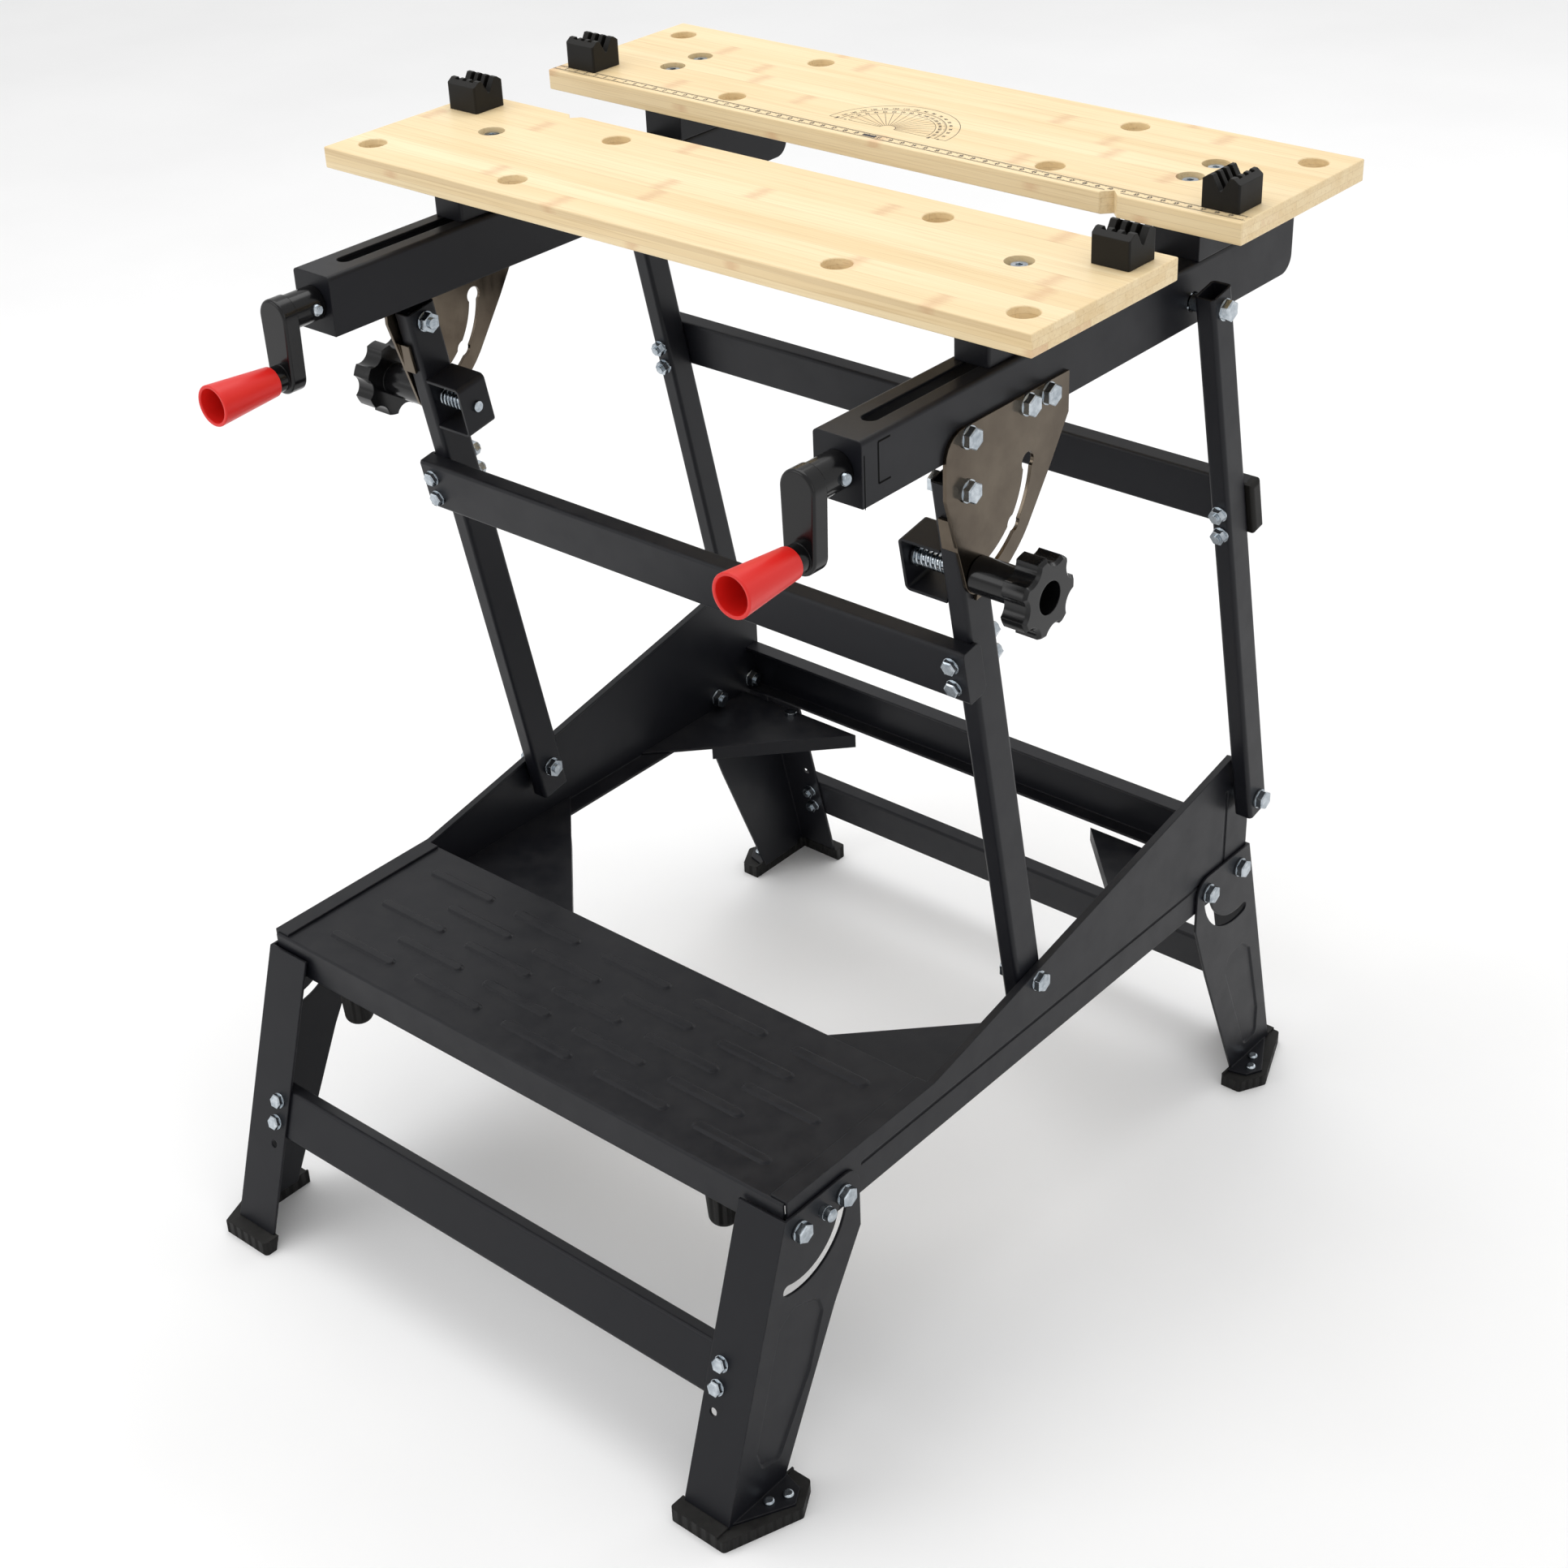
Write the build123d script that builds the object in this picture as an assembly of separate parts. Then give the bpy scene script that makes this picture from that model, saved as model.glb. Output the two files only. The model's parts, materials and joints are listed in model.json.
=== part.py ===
from build123d import *
import os
from math import atan2, cos, degrees, hypot, radians, sin, tan

os.makedirs("parts", exist_ok=True)

# Millimetres. +X is the bench's right, +Y its back, +Z up; the floor is z = 0.

# ---- overall sizes ----
bench_height = 782.0          # floor to the top of the boards
board_length = 605.0
frame_width = 504.0           # over the outer faces of the two side panels
platform_height = 242.0
foot_reach = 352.0            # y of the outer edge of the front and rear feet

# ---- boards, dogs ----
board_thickness = 15.0
board_width = 150.5
board_gap = 71.5
front_board_edge = -80.3      # y of the front board's front edge
dog_hole_d = 20.0
dog_hole_edge = 25.0          # hole row to long edge
dog_hole_x = (board_length / 2 - 23.5, 140.0)
notch_x, notch_width, notch_depth = 203.0, 14.0, 7.0
dog_side, dog_height = 28.0, 21.8
dog_peg_clearance = 0.1

# ---- rails, jaw carriers, spindles ----
rail_inset = 24.0             # panel outer face to rail centre line
rail_width, rail_height, rail_wall = 36.0, 42.0, 2.0
rail_front, rail_rear = -164.8, 305.0
riser_height = 35.0
riser_front, riser_rear = 185.0, 300.0
carrier_width = 27.0
carrier_front, carrier_rear = -38.0, 62.0
neck_width, neck_front, neck_rear = 11.0, -9.5, 30.5
slide_gap = 0.3
slot_front, slot_rear = -140.0, 107.5
spindle_d, spindle_rear = 12.0, 135.0
nut_block = (20.0, 40.0, 24.0)
running = 0.05                # radial clearance of a shaft in its bore
seat_gap = 0.03               # radial clearance of a pin fixed in its seat
crank_throw = 42.0
hub_d, hub_length = 24.0, 24.8
arm_thickness = 12.0
grip_length, grip_small_r, grip_large_r, grip_wall = 50.9, 10.5, 14.5, 2.5
grip_pin_d = 8.0

# ---- folding posts: pivots as (y, z), z measured from the platform or the rail ----
front_low = (8.7, platform_height + 17.5)
rear_low = (269.6, platform_height + 44.6)
front_post = (15.0, 27.0)     # section in x and across the post
rear_post = (15.0, 23.0)
post_wall, post_round = 1.5, 3.0
post_gap = 0.3                # front post to quadrant plate
rear_post_gap = 2.9           # rear post to side panel
pivot_hole_d = 8.15
upper_bar = (40.0, 12.0, 1.5)     # height, depth, sheet
front_bar_at, rear_bar_at = 285.5, 262.0     # from the lower pivot, along the post
bar_bolt_pitch = 17.5
rear_pivot_room = 6.9         # radius of the rail hole round the upper rear bolt

# ---- quadrant plate and fold lock ----
quadrant_sheet = 2.5
lock_radius = 62.0
fold_angle = 76.0
stud_d = 8.0

# ---- side panels, cross members, legs ----
sheet = 2.0
panel_front, panel_rear = -264.5, 286.5
panel_drop = 41.0             # platform top to the panel's bottom edge
platform_depth = 155.5
tread_pitch = (91.2, 25.5)     # raised ribs, along x and y
platform_flange = 14.0        # panel flange over each end of the platform
skirt_drop = 30.0             # platform top to the skirt's lower edge
skirt_cut = 24.0              # slanted lower corners of the skirt
leg_drop = 27.0               # platform top to the leg pivots
front_leg_y, rear_leg_y = -257.0, 275.0
front_lean, rear_lean = 18.0, 13.5
leg_flange_width = 40.0
leg_gap = 0.4                 # leg plate to side panel
leg_plane = 15.0              # pivot to the inner face of the leg's flange
guide_radius = 45.0
plunger_radius = 24.0
pad_height = 10.0
leg_bar_half = 236.0

# ---- derived positions ----
board_bottom = bench_height - board_thickness
rail_top = board_bottom - riser_height
rail_bottom = rail_top - rail_height
rail_x = frame_width / 2 - rail_inset
rail_face = rail_x + rail_width / 2
spindle_z = rail_bottom + rail_height / 2
front_high = (-68.6, rail_bottom - 24.0)
rear_high = (180.2, rail_bottom + 16.4)
front_board_back = front_board_edge + board_width
rear_board_edge = front_board_back + board_gap
panel_face = frame_width / 2
panel_inner = panel_face - sheet
panel_bottom = platform_height - panel_drop
panel_top = platform_height - sheet
leg_z = platform_height - leg_drop
front_post_x = (rail_face - post_gap - front_post[0], rail_face - post_gap)
rear_post_x = (panel_face + rear_post_gap, panel_face + rear_post_gap + rear_post[0])
plate_x = (rail_face, rail_face + quadrant_sheet)
leg_x = (panel_face + leg_gap, panel_face + leg_gap + sheet)
leg_flange_x = leg_x[1] - leg_flange_width
slot_width = neck_width + 2 * slide_gap


# ---------------------------------------------------------------- helpers
def block(x, y, z):
    size = (x[1] - x[0], y[1] - y[0], z[1] - z[0])
    centre = ((x[0] + x[1]) / 2, (y[0] + y[1]) / 2, (z[0] + z[1]) / 2)
    return Pos(*centre) * Box(*size)


def rod_x(y, z, r, x0, x1):
    return Pos((x0 + x1) / 2, y, z) * Rot(0, 90, 0) * Cylinder(r, x1 - x0)


def rod_y(x, z, r, y0, y1):
    return Pos(x, (y0 + y1) / 2, z) * Rot(90, 0, 0) * Cylinder(r, y1 - y0)


def rod_z(x, y, r, z0, z1):
    return Pos(x, y, (z0 + z1) / 2) * Cylinder(r, z1 - z0)


def slab_x(outline, x0, x1):
    """Plate between two x values, cut to an outline of (y, z) points."""
    face = Plane.YZ * Polygon(*outline, align=None)
    return Pos(x0, 0, 0) * extrude(face, x1 - x0, dir=(1, 0, 0))


def slab_z(outline, z0, z1):
    """Plate between two heights, cut to an outline of (x, y) points."""
    return Pos(0, 0, z0) * extrude(Polygon(*outline, align=None), z1 - z0, dir=(0, 0, 1))


def arc_slot(centre, radius, width, start, end, x0, x1):
    """Curved slot about an X axis through (y, z); angles from +Y towards +Z, in degrees."""
    ring = Circle(radius + width / 2) - Circle(radius - width / 2)
    reach = 2 * radius
    steps = [start + (end - start) * i / 6 for i in range(7)]
    fan = [(0, 0)] + [(reach * cos(radians(a)), reach * sin(radians(a))) for a in steps]
    shape = ring & Polygon(*fan, align=None)
    for a in (start, end):
        shape += Pos(radius * cos(radians(a)), radius * sin(radians(a))) * Circle(width / 2)
    return Pos(x0, *centre) * extrude(Plane.YZ * shape, x1 - x0, dir=(1, 0, 0))


def both(shape):
    """A right-hand piece and its left-hand mirror image."""
    return [shape, mirror(shape, about=Plane.YZ)]


def frame_along(low, high):
    """Plane at a lower pivot: Z runs to the upper pivot, X is +X, Y points rearward."""
    return Plane(origin=(0, *low), x_dir=(1, 0, 0), z_dir=(0, high[0] - low[0], high[1] - low[1]))


def distance(a, b):
    return hypot(b[0] - a[0], b[1] - a[1])


def bolt(d, head_af, head_h, washer_d, grip, nut_h, washer_t=1.5):
    """Hex bolt along +Z: clamped faces at z = 0 and z = grip, head below, nut above."""
    body = extrude(RegularPolygon(head_af / 2, 6, major_radius=False), -head_h - washer_t)
    body = chamfer(body.faces().sort_by(Axis.Z)[0].edges(), 0.8)
    body += Pos(0, 0, -washer_t / 2) * Cylinder(washer_d / 2, washer_t)
    tip = grip + (washer_t + nut_h + 2.0 if nut_h else 0.0)
    body += rod_z(0, 0, d / 2, -washer_t, tip)
    if nut_h:
        body += Pos(0, 0, grip + washer_t / 2) * Cylinder(washer_d / 2, washer_t)
        nut = extrude(RegularPolygon(head_af / 2, 6, major_radius=False), nut_h)
        body += Pos(0, 0, grip + washer_t) * nut
    return body


def m8(grip, nut_h=6.0):
    return bolt(8.0, 13.0, 5.3, 15.0, grip, nut_h)


def m6(grip, nut_h=4.8):
    return bolt(6.0, 10.0, 4.0, 12.0, grip, nut_h, 1.2)


def from_side(shape, x, y, z):
    """Turn a bolt so that its head is on the +X side and it points to -X."""
    return Pos(x, y, z) * Rot(0, -90, 0) * shape


def channel(half, depth, height, wall, centre_z, web_y, opens):
    """C bar along X: web's outer face at web_y, flanges reaching `depth` towards `opens`."""
    far = web_y + opens * depth
    y = sorted((web_y, far))
    bar = block((-half, half), y, (centre_z - height / 2, centre_z + height / 2))
    bar = fillet([e for e in bar.edges().filter_by(Axis.X) if abs(e.center().Y - web_y) < 0.01], 2.5)
    inner = sorted((web_y + opens * wall, far + opens * 1.0))
    z = (centre_z - height / 2 + wall, centre_z + height / 2 - wall)
    return bar - block((-half - 1, half + 1), inner, z)


def save(name, *pieces):
    solids = [solid for piece in pieces for solid in piece.solids()]
    whole = solids[0] if len(solids) == 1 else Compound(children=solids)
    export_step(whole, f"parts/{name}.step")


# ---------------------------------------------------------------- boards and dogs
def board(edge, bolt_rows, bolt_pairs, notch):
    z = (board_bottom, bench_height)
    half = board_length / 2
    plank = fillet(block((-half, half), (edge, edge + board_width), z).edges(), 1.0)
    for x in dog_hole_x:
        for y in (edge + dog_hole_edge, edge + board_width - dog_hole_edge):
            for side in (-1, 1):
                plank -= rod_z(side * x, y, dog_hole_d / 2, z[0] - 1, z[1] + 1)
                plank -= Pos(side * x, y, z[1] - 0.3) * Cone(dog_hole_d / 2, dog_hole_d / 2 + 0.6, 0.61)
    for y in bolt_rows:
        for side in (-1, 1):
            plank -= rod_z(side * bolt_pairs, y, 4.3, z[0] - 1, z[1] + 1)
            plank -= rod_z(side * bolt_pairs, y, 9.5, z[1] - 7.0, z[1] + 1)
    nx, ny, inward = notch
    shape = [(nx - notch_width / 2 - 1, ny - inward), (nx + notch_width / 2 + 1, ny - inward),
             (nx, ny + inward * notch_depth)]
    return plank - slab_z(shape, z[0] - 1, z[1] + 1)


def counterbored_bolt(x, y, length, nut_h):
    """Countersunk M8 board bolt with a broad low head, set in the counterbore."""
    seat = bench_height - 7.0
    screw = rod_z(x, y, 9.0, seat, seat + 1.5) + Pos(x, y, seat + 1.5) * extrude(Circle(6.5), 3.5, taper=18)
    screw -= Pos(x, y, seat + 3.2) * extrude(RegularPolygon(2.5, 6), 3.0)
    screw += rod_z(x, y, 4.0, seat - length, seat)
    if nut_h:
        nut_top = board_bottom - 3.0
        hexagon = extrude(RegularPolygon(6.5, 6, major_radius=False), -nut_h)
        screw += Pos(x, y, nut_top) * hexagon
    return screw


def dog(x, y, turned):
    s = dog_side / 2
    h = dog_height
    outline = [(-s, 0), (-s, h - 3.5), (-s + 5, h), (-6.5, h), (-0.8, h - 9.5), (0.8, h - 9.5),
               (6.5, h), (s - 5, h), (s, h - 3.5), (s, 0)]
    body = slab_x(outline, -s, s)
    body = fillet(body.edges().filter_by(Axis.Z), 1.5)
    relief = [(-10.2, h + 1), (-10.2, h - 4), (-2.5, h - 15), (2.5, h - 15), (10.2, h - 4), (10.2, h + 1)]
    for x0 in (-7.2, 0.0, 7.2):
        body -= slab_x(relief, x0 - 1.9, x0 + 1.9)
    peg = rod_z(0, 0, dog_hole_d / 2 - dog_peg_clearance, -board_thickness - 3, 1)
    peg -= block((-1.2, 1.2), (-12, 12), (-board_thickness - 4, -3))
    peg = peg - rod_z(0, 0, 6.0, -board_thickness - 4, -3)
    return Pos(x, y, bench_height + 0.3) * Rot(0, 0, 90 if turned else 0) * (body + peg)


# ---------------------------------------------------------------- rails and quadrants
def quadrant_outline():
    """Quadrant plate's edge, as offsets from the upper front pivot."""
    stud = lock_offset()
    hook = 17.0
    ring = lock_radius + hook
    arc = []
    for i in range(9):
        a = radians(-83.0 + (-37.0 + 83.0) * i / 8)
        arc.append((ring * cos(a), ring * sin(a)))
    bottom = []
    for i in range(7):
        a = radians(190.0 + 75.0 * i / 6)
        bottom.append((stud[0] + 13.0 * cos(a), stud[1] + 13.0 * sin(a)))
    top = rail_top - 24.0 - front_high[1]
    corner = [(-21 + 18 * (1 - cos(radians(a))), top - 18 * (1 - sin(radians(a)))) for a in range(0, 91, 15)]
    return bottom + arc + [(88, -12), (105, 14.5), (105, top)] + corner[::-1] + [(-21, 0)]


def lock_offset():
    """Fold-lock stud from the upper front pivot, as (y, z)."""
    run = distance(front_high, front_low)
    return tuple((front_low[i] - front_high[i]) * lock_radius / run for i in (0, 1))


plate_bolts = ((13.0, rail_bottom + 11.0), (-8.0, rail_bottom + 11.0), (-68.0, rail_bottom + 11.0))


def quadrant_plate():
    outline = [(front_high[0] + y, front_high[1] + z) for y, z in quadrant_outline()]
    plate = slab_x(outline, *plate_x)
    stud = lock_offset()
    start = degrees(atan2(stud[1], stud[0]))
    cut = (plate_x[0] - 1, plate_x[1] + 1)
    plate -= arc_slot(front_high, lock_radius, 8.9, start, start + fold_angle, *cut)
    for turn in (0.0, 39.0, fold_angle):
        a = radians(start + turn)
        y, z = front_high[0] + lock_radius * cos(a), front_high[1] + lock_radius * sin(a)
        plate -= rod_x(y, z, 6.2, *cut)
    for y, z in plate_bolts:
        plate -= rod_x(y, z, 4.1, *cut)
    plate -= rod_x(*front_high, 4.05, *cut)
    post = frame_along(front_low, front_high)
    run = distance(front_low, front_high)
    reach = front_post[1] / 2 + 0.4
    tab = block((plate_x[0] - 10.0, plate_x[1]), (-reach - quadrant_sheet, -reach), (run - 36, run - 14))
    return plate + post * tab


def rail():
    x = (rail_x - rail_width / 2, rail_face)
    body = block(x, (rail_front, rail_rear), (rail_bottom, rail_top))
    body = fillet([e for e in body.edges().filter_by(Axis.Y) if e.center().Z > rail_top - 1], 3.0)
    tail = [e for e in body.edges().filter_by(Axis.X)
            if e.center().Y > rail_rear - 1 and e.center().Z < rail_bottom + 1]
    body = fillet(tail, 12.0)
    inner = (x[0] + rail_wall, x[1] - rail_wall)
    body -= block(inner, (rail_front + rail_wall, rail_rear + 1), (rail_bottom - 1, rail_top - rail_wall))
    body -= block((rail_x - slot_width / 2, rail_x + slot_width / 2),
                  (slot_front + slot_width / 2, slot_rear - slot_width / 2), (rail_top - 5, rail_top + 1))
    for y in (slot_front + slot_width / 2, slot_rear - slot_width / 2):
        body -= rod_z(rail_x, y, slot_width / 2, rail_top - 5, rail_top + 1)
    body -= rod_y(rail_x, spindle_z, spindle_d / 2 + running, rail_front - 1, rail_front + 4)
    outer = (x[1] - rail_wall - 1, x[1] + 1)
    body -= rod_x(*rear_high, rear_pivot_room, *outer)
    for y, z in plate_bolts:
        body -= rod_x(y, z, 4.1, *outer)
    return body


def riser():
    x = (rail_x - rail_width / 2, rail_face)
    body = block(x, (riser_front, riser_rear), (rail_top, board_bottom))
    body = fillet([e for e in body.edges().filter_by(Axis.Z) if e.center().Y > riser_rear - 1], 4.0)
    body -= block((x[0] + 3, x[1] - 3), (riser_front + 3, riser_rear - 3), (rail_top - 1, board_bottom - 3))
    for y in rear_bolt_rows:
        body -= rod_z(rail_x, y, 4.05, board_bottom - 4, board_bottom + 1)
    return body


rear_bolt_rows = (rear_board_edge + 57.4, rear_board_edge + 88.4)
front_bolt_row = neck_front + nut_block[1] / 2


def top_bolts():
    bolts = [from_side(bolt(8.0, 13.0, 5.3, 15.0, quadrant_sheet + rail_wall, 0) + rivet_nut(),
                       plate_x[1], y, z) for y, z in plate_bolts]
    grip = plate_x[1] - front_post_x[0] + 0.3
    bolts.append(from_side(m8(grip), plate_x[1], *front_high))
    for y in rear_bolt_rows:
        bolts.append(counterbored_bolt(rail_x, y, 22.0, 6.0))
    return [b for piece in bolts for b in both(piece)]


def rivet_nut():
    """Low collar behind the rail wall that the plate bolt screws into."""
    reach = quadrant_sheet + rail_wall
    return rod_z(0, 0, 5.5, reach, reach + 2.8)


# ---------------------------------------------------------------- jaw, spindle, crank
def jaw_carrier():
    half = carrier_width / 2
    z = (rail_top + slide_gap, board_bottom)
    body = block((rail_x - half, rail_x + half), (carrier_front, carrier_rear), z)
    body = fillet(body.edges().filter_by(Axis.Z), 2.0)
    for y in ((carrier_front + 4, neck_front - 4), (neck_rear + 4, carrier_rear - 4)):
        body -= block((rail_x - half + 4, rail_x + half - 4), y, (z[0] + 6, z[1] + 1))
    neck = block((rail_x - neck_width / 2, rail_x + neck_width / 2), (neck_front, neck_rear),
                 (spindle_z + nut_block[2] / 2, z[0] + 1))
    body += neck
    return body - rod_z(rail_x, front_bolt_row, 4.05, spindle_z, board_bottom + 1)


def spindle_nut():
    y0 = front_bolt_row - nut_block[1] / 2
    half = nut_block[0] / 2
    body = block((rail_x - half, rail_x + half), (y0, y0 + nut_block[1]),
                 (spindle_z - nut_block[2] / 2, spindle_z + nut_block[2] / 2))
    body = chamfer(body.edges().filter_by(Axis.Y), 1.5)
    body -= rod_y(rail_x, spindle_z, spindle_d / 2 + running, y0 - 1, y0 + nut_block[1] + 1)
    top = spindle_z + nut_block[2] / 2
    return body - rod_z(rail_x, front_bolt_row, 4.05, top - 4.3, top + 1)


def spindle():
    body = rod_y(rail_x, spindle_z, spindle_d / 2, hub_front() - 5, spindle_rear)
    body = chamfer(body.edges().sort_by(Axis.Y)[-1], 1.5)
    collar = rail_front + rail_wall + slide_gap
    return body + rod_y(rail_x, spindle_z, 10.0, collar, collar + 5)


def hub_front():
    """Depth of the hub's front face, where the crank arm starts."""
    return rail_front - slide_gap - hub_length


def crank_arm():
    back = hub_front()
    front = back - arm_thickness
    body = rod_y(rail_x, spindle_z, hub_d / 2, back - 1, rail_front - slide_gap)
    low = spindle_z - crank_throw
    ends = [Edge.make_circle(13), Edge.make_circle(12).moved(Location((0, -crank_throw, 0)))]
    arm = Pos(rail_x, back, spindle_z) * extrude(Plane.XZ * make_hull(ends), arm_thickness, dir=(0, -1, 0))
    arm = fillet(arm.faces().sort_by(Axis.Y)[0].edges(), 2.0)
    body += arm
    body += rod_y(rail_x, low, 9.2, front - 7.5, front + 1)
    body -= rod_y(rail_x, spindle_z, spindle_d / 2 + seat_gap, back - 5, rail_front)
    body -= rod_y(rail_x, low, grip_pin_d / 2 + seat_gap, front - 9, back - 2)
    return body - rod_x(set_screw_y(), spindle_z, 2.5 + seat_gap, rail_x + 5, rail_x + 14)


def set_screw_y():
    return rail_front - slide_gap - 8.0


def boss_face():
    return hub_front() - arm_thickness - 7.5


def crank_screws():
    low = spindle_z - crank_throw
    y = set_screw_y()
    screw = rod_x(y, spindle_z, 2.5, rail_x + spindle_d / 2, rail_x + hub_d / 2 + 0.5)
    head = rod_x(y, spindle_z, 4.2, rail_x + hub_d / 2, rail_x + hub_d / 2 + 3.0)
    head = fillet(head.edges().sort_by(Axis.X)[-1], 1.8)
    pin = rod_y(rail_x, low, grip_pin_d / 2, grip_seat() - 6, hub_front() - 2)
    pin += rod_y(rail_x, low, 6.5, grip_seat() - 6, grip_seat())
    return [screw + head, pin]


def grip_seat():
    """Face that the grip pin's head stands against, just inside the hollow."""
    return boss_face() - 12.5


def grip():
    start = boss_face() - slide_gap
    end = start - grip_length
    bore = grip_pin_d / 2 + 0.075
    floor = grip_seat() + slide_gap
    slope = (grip_large_r - grip_small_r) / grip_length
    inner = grip_small_r + slope * (start - floor) - grip_wall
    profile = [(bore, start), (grip_small_r, start), (grip_large_r, end),
               (grip_large_r - grip_wall, end), (inner, floor), (bore, floor)]
    ring = revolve(Polygon(*profile, align=None), Axis.Y)
    lips = [e for e in ring.edges().filter_by(GeomType.CIRCLE)
            if abs(e.center().Y - end) < 0.01 or (e.radius > 9 and abs(e.center().Y - start) < 0.01)]
    ring = fillet(lips, 0.9)
    return Pos(rail_x, 0, spindle_z - crank_throw) * ring


# ---------------------------------------------------------------- folding posts
def post(section, x, low_end, length, holes_x, holes_y):
    """Hollow post in its own frame: lower pivot at the origin, top at z = length."""
    depth = section[1] / 2
    xs = (x[0], x[1])
    body = block(xs, (-depth, depth), (-low_end, length))
    body = fillet(body.edges().filter_by(Axis.Z), post_round)
    core = block((x[0] + post_wall, x[1] - post_wall), (-depth + post_wall, depth - post_wall),
                 (-low_end - 1, length + 1))
    body -= fillet(core.edges().filter_by(Axis.Z), post_round - post_wall)
    for z, r in holes_x:
        body -= rod_x(0, z, r, x[0] - 1, x[1] + 1)
    centre = (x[0] + x[1]) / 2
    for z in holes_y:
        body -= rod_y(centre, z, 3.05, -depth - 1, depth + 1)
    return body


def bar_holes(at):
    return (at - bar_bolt_pitch / 2, at + bar_bolt_pitch / 2)


def front_post_solid():
    run = distance(front_low, front_high)
    holes = [(0, pivot_hole_d / 2), (run, pivot_hole_d / 2), (run - lock_radius, pivot_hole_d / 2)]
    return post(front_post, front_post_x, 25.0, run + 10.0, holes, bar_holes(front_bar_at))


def rear_post_solid():
    run = distance(rear_low, rear_high)
    body = post(rear_post, rear_post_x, 13.0, run + 12.0,
                [(0, pivot_hole_d / 2), (run, 4.05)], bar_holes(rear_bar_at))
    wedge = [(rear_post[1] / 2 - 8, -13.5), (rear_post[1] / 2 + 1, -13.5), (rear_post[1] / 2 + 1, -5)]
    return body - slab_x(wedge, rear_post_x[0] - 1, rear_post_x[1] + 1)


def front_upper_bar():
    height, depth, wall = upper_bar
    half = panel_face - 3.0
    face = -front_post[1] / 2 - depth
    bar = channel(half, depth, height, wall, front_bar_at, face, 1)
    wing = block((front_post_x[1] + 0.3, half), (face + 1, face + depth + 6),
                 (front_bar_at - height / 2, front_bar_at + height / 2))
    back = [e for e in wing.edges().filter_by(Axis.X) if e.center().Y > face + depth]
    bar += both(fillet(back, 5.5))
    centre = sum(front_post_x) / 2
    for z in bar_holes(front_bar_at):
        for side in (-1, 1):
            bar -= rod_y(side * centre, z, 3.05, face - 1, face + 3)
    return bar


def rear_upper_bar():
    height, depth, wall = upper_bar
    face = rear_post[1] / 2
    bar = channel(rear_post_x[1] - 1.5, depth, height, wall, rear_bar_at, face, 1)
    centre = sum(rear_post_x) / 2
    for z in bar_holes(rear_bar_at):
        for side in (-1, 1):
            bar -= rod_y(side * centre, z, 3.05, face - 1, face + 3)
    return bar


def bar_end_cap():
    height, depth, wall = upper_bar
    end = rear_post_x[1] - 1.5
    face = rear_post[1] / 2
    body = block((end, end + 6.5), (face, face + depth), (rear_bar_at - height / 2, rear_bar_at + height / 2))
    body = fillet(body.faces().sort_by(Axis.X)[-1].edges(), 3.0)
    plug = block((end - 4.0, end + 0.5), (face + wall + 0.1, face + depth - 1),
                 (rear_bar_at - height / 2 + wall + 0.1, rear_bar_at + height / 2 - wall - 0.1))
    plug -= block((end - 5.0, end), (face, face + depth), (rear_bar_at - 15.2, rear_bar_at + 15.2))
    return body + plug


def lock_bracket():
    run = distance(front_low, front_high)
    z = run - lock_radius
    x = (front_post_x[0] - 32.7, front_post_x[0])
    body = block((x[0], x[1] + 9), (-13, 13), (z - 20, z + 20))
    body = fillet([e for e in body.edges().filter_by(Axis.Y) if e.center().X < x[0] + 1], 4.0)
    core = block((x[0] + 2, x[1] + 10), (-14, 14), (z - 18, z + 18))
    body -= fillet([e for e in core.edges().filter_by(Axis.Y) if e.center().X < x[0] + 3], 2.0)
    body -= block((x[1], x[1] + 10), (-14, 14), (z - 21, z + 21))
    return body - rod_x(0, z, pivot_hole_d / 2, x[0] - 1, x[0] + 3)


def bar_bolts(section, x, at, head_side, sheet_out):
    """Pair of M6 bolts through a post and the web of its bar, in the post's frame."""
    depth = section[1] / 2
    start = head_side * (depth + sheet_out)
    grip = section[1] + abs(sheet_out)
    turn = Rot(-90, 0, 0) if head_side < 0 else Rot(90, 0, 0)
    return [Pos(sum(x) / 2, start, z) * turn * m6(grip) for z in bar_holes(at)]


# ---------------------------------------------------------------- fold lock
def lock_knob():
    x0 = plate_x[1] + 0.5
    sleeve = rod_x(0, 0, 12.25, x0, x0 + 35)
    star = rod_x(0, 0, 27.0, x0 + 35, x0 + 53)
    for i in range(7):
        a = radians(360 / 7 * (i + 0.5))
        star -= rod_x(31.5 * cos(a), 31.5 * sin(a), 9.5, x0 + 34, x0 + 54)
    star = chamfer(star.faces().sort_by(Axis.X)[-1].edges(), 2.0)
    star -= rod_x(0, 0, 11.0, x0 + 40, x0 + 54)
    body = sleeve + star
    return body - rod_x(0, 0, stud_d / 2 + seat_gap, x0 - 1, x0 + 32)


def lock_stud():
    x0 = front_post_x[0] - 34.7
    body = rod_x(0, 0, stud_d / 2, x0, plate_x[1] + 0.5 + 32)
    return body + rod_x(0, 0, 7.5, x0 + 5, x0 + 7)


def lock_spring():
    """Coil between the stud's collar and the post, round the stud."""
    x0, x1 = front_post_x[0] - 27.7 + 0.8, front_post_x[0] - 1.0
    coil = Helix(pitch=(x1 - x0) / 7, height=x1 - x0, radius=6.2)
    start = coil @ 0
    wire = sweep(Plane(origin=start, z_dir=coil % 0) * Circle(0.75), path=coil)
    return Pos(x0, 0, 0) * Rot(0, 90, 0) * wire


def at_lock(shape):
    off = lock_offset()
    return Pos(0, front_high[0] + off[0], front_high[1] + off[1]) * shape


# ---------------------------------------------------------------- base
gusset_screw = (panel_inner - 60.0, 259.0)


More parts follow.
